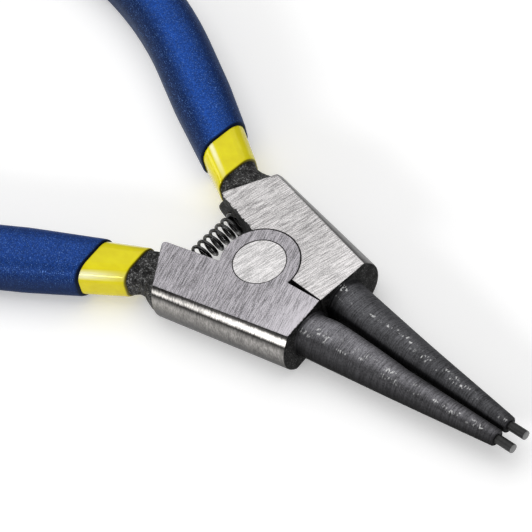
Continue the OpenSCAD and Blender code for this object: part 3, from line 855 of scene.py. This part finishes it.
def makePin(side):
    p = pinShape
    long = p["to"] - p["from"]
    step = p["seat"] + p["clear"]
    profile = [(p["clear"], 0), (p["clear"], p["root"][0]), (step, p["root"][1]), (step, p["radius"]),
               ((step + long) / 2, p["radius"]), (long - p["bevel"], p["radius"]),
               (long - p["bevel"] * 0.3, p["radius"] - p["bevel"] * 0.35), (long, p["radius"] - p["bevel"]), (long, 0)]
    bm = lathe(profile, p["sides"])
    bmesh.ops.translate(bm, verts=bm.verts, vec=(p["from"], p["y"] if side == "left" else -p["y"], midHeight))
    return asObject(bm, side + "TipPin", [looks["pin"]])


for side in ("left", "right"):
    settle(makePin(side), side + "_half", side + "_tip_pin")


# sleeves

sleeveShape = {
    "collarAt": 20.0, "gripAt": 27.8, "lap": 6, "collarWall": 0.45, "gripWall": 0.9, "seat": 0.05, "collarLip": 0.5,
    "gripLip": 0.7, "lipSteps": 5, "collarSteps": 14, "boreFrom": 28, "skinFrom": 22.5,
}


def rimRound(x, low, high, back):  # rounded lip from low to high over this run
    lip = []
    for k in range(sleeveShape["lipSteps"] + 1):
        t = math.pi / 2 * k / sleeveShape["lipSteps"]
        lip.append(rimSection(x + back * (1 - math.cos(t)), low + (high - low) * math.sin(t)))
    return lip


def toSide(bm, side):  # the left handle stands further out, the right one is turned over
    if side == "left":
        bmesh.ops.translate(bm, verts=bm.verts, vec=(0, leftShift["handle"], 0))
    else:
        turnOver(bm)


def makeCollar(side):
    c = sleeveShape
    begin, end, steps = c["collarAt"] + c["collarLip"], c["gripAt"] + c["lap"], c["collarSteps"]
    rings = rimRound(c["collarAt"], c["seat"], c["collarWall"], c["collarLip"])
    rings += [rimSection(begin + (end - begin) * k / steps, c["collarWall"]) for k in range(1, steps + 1)]
    rings += [rimSection(end, c["seat"])]
    bm = loft(rings, True)
    toSide(bm, side)
    return asObject(bm, side + "Collar", [looks[side + "Yellow"]])


def makeGrip(side):
    c = sleeveShape
    step = c["gripAt"] + c["lap"] + c["seat"]
    wall = [rimSection(step, c["seat"])] + [section(s, c["seat"]) for s in handleStops(c["boreFrom"])]
    wall += roundEnd(handleEnd() - handleShape["endRoom"] + c["seat"], c["seat"])
    rings = wall[::-1] + [rimSection(step, c["collarWall"] + c["seat"])]
    rings += rimRound(c["gripAt"], c["collarWall"] + c["seat"], c["gripWall"], c["gripLip"])
    rings += [rimSection(c["gripAt"] + c["gripLip"] + run, c["gripWall"]) for run in (0.875, 1.75, 2.625)]
    rings += [section(s, c["gripWall"]) for s in handleStops(c["skinFrom"])]
    rings += roundEnd(handleEnd(), c["gripWall"])
    bm = loft(rings, False)
    toSide(bm, side)
    return asObject(bm, side + "Grip", [looks[side + "Blue"]])


for side in ("left", "right"):
    settle(makeCollar(side), side + "_half", side + "_collar", softLimit)
    settle(makeGrip(side), side + "_half", side + "_grip", softLimit)


# floor, light and camera

stageSetup = {"floor": 2.4, "drop": 0.0002, "tones": (0.915, 0.925), "glow": 0.25, "sky": ((0.0, 0.25), (0.7, 0.42))}


def makeFloor():
    bm = bmesh.new()
    bmesh.ops.create_grid(bm, x_segments=1, y_segments=1, size=stageSetup["floor"])
    bmesh.ops.translate(bm, verts=bm.verts, vec=(0, 0, -stageSetup["drop"]))
    made, shader, place = startMaterial("paleFloor")
    cloud = place.grain((0.4, 0.4, 0.4), 0.0, 2.0)
    tree = made.node_tree
    setShader(shader, colour=cloud.between(*(grey(tone) for tone in stageSetup["tones"])), rough=0.8, spec=0.2)
    path = tree.nodes.new("ShaderNodeLightPath").outputs
    rays = [Wire(tree, path[kind]) for kind in ("Is Camera Ray", "Is Glossy Ray", "Is Transmission Ray")]
    seen = rays[0] + rays[1] + rays[2]
    tree.links.new(seen.out, shader.inputs["Emission Color"])
    shader.inputs["Emission Strength"].default_value = stageSetup["glow"]
    floor = asObject(bm, "studioFloor", [made])


def makeSky():
    world = bpy.data.worlds.new("studioSky")
    world.use_nodes = True
    tree = world.node_tree
    way = Wire(tree, tree.nodes.new("ShaderNodeTexCoord").outputs["Generated"])
    high = way.axis(2).ramp(*stageSetup["sky"])
    tree.links.new(high.out, tree.nodes["Background"].inputs["Color"])
    bpy.context.scene.world = world


lamps = (
    {"name": "frontSoftbox", "place": (0.05, -0.80, 0.34), "look": (-0.01, 0, 0.005), "size": (0.6, 0.1),
     "power": 3.0},
    {"name": "sideSoftbox", "place": (-0.88, -0.36, 0.24), "look": (-0.02, 0.014, 0.005), "size": (0.5, 0.3),
     "power": 1.2},
    {"name": "overheadSoftbox", "place": (-0.32, 0.24, 1.0), "look": (-0.01, 0, 0), "size": (1.4, 1.4),
     "power": 6.2},
)


def makeLamp(lamp):
    data = bpy.data.lights.new(lamp["name"], "AREA")
    data.shape = "RECTANGLE"
    data.size, data.size_y = lamp["size"]
    data.energy = lamp["power"]
    made = bpy.data.objects.new(lamp["name"], data)
    bpy.context.scene.collection.objects.link(made)
    made.location = lamp["place"]
    made.rotation_euler = (Vector(lamp["look"]) - Vector(lamp["place"])).to_track_quat("-Z", "Y").to_euler()


viewSetup = {
    "place": (0.2888, -0.2025, 0.4382), "right": (0.7207, 0.6734, -0.1648), "down": (0.4604, -0.6426, -0.6125),
    "ahead": (-0.5183, 0.3655, -0.7731), "focalPixels": 3000, "imageWidth": 532, "sensor": 36, "near": 0.01,
}


def makeCamera():
    v = viewSetup
    data = bpy.data.cameras.new("photoView")
    data.sensor_width = v["sensor"]
    data.lens = v["focalPixels"] / v["imageWidth"] * v["sensor"]
    data.clip_start = v["near"]
    made = bpy.data.objects.new("photoView", data)
    bpy.context.scene.collection.objects.link(made)
    turned = Matrix((Vector(v["right"]), -Vector(v["down"]), -Vector(v["ahead"]))).transposed().to_4x4()
    turned.translation = v["place"]
    made.matrix_world = turned
    bpy.context.scene.camera = made


makeFloor()
makeSky()
for lamp in lamps:
    makeLamp(lamp)
makeCamera()
bpy.context.scene.view_settings.view_transform = "Standard"
print("stage: floor, light and camera made")
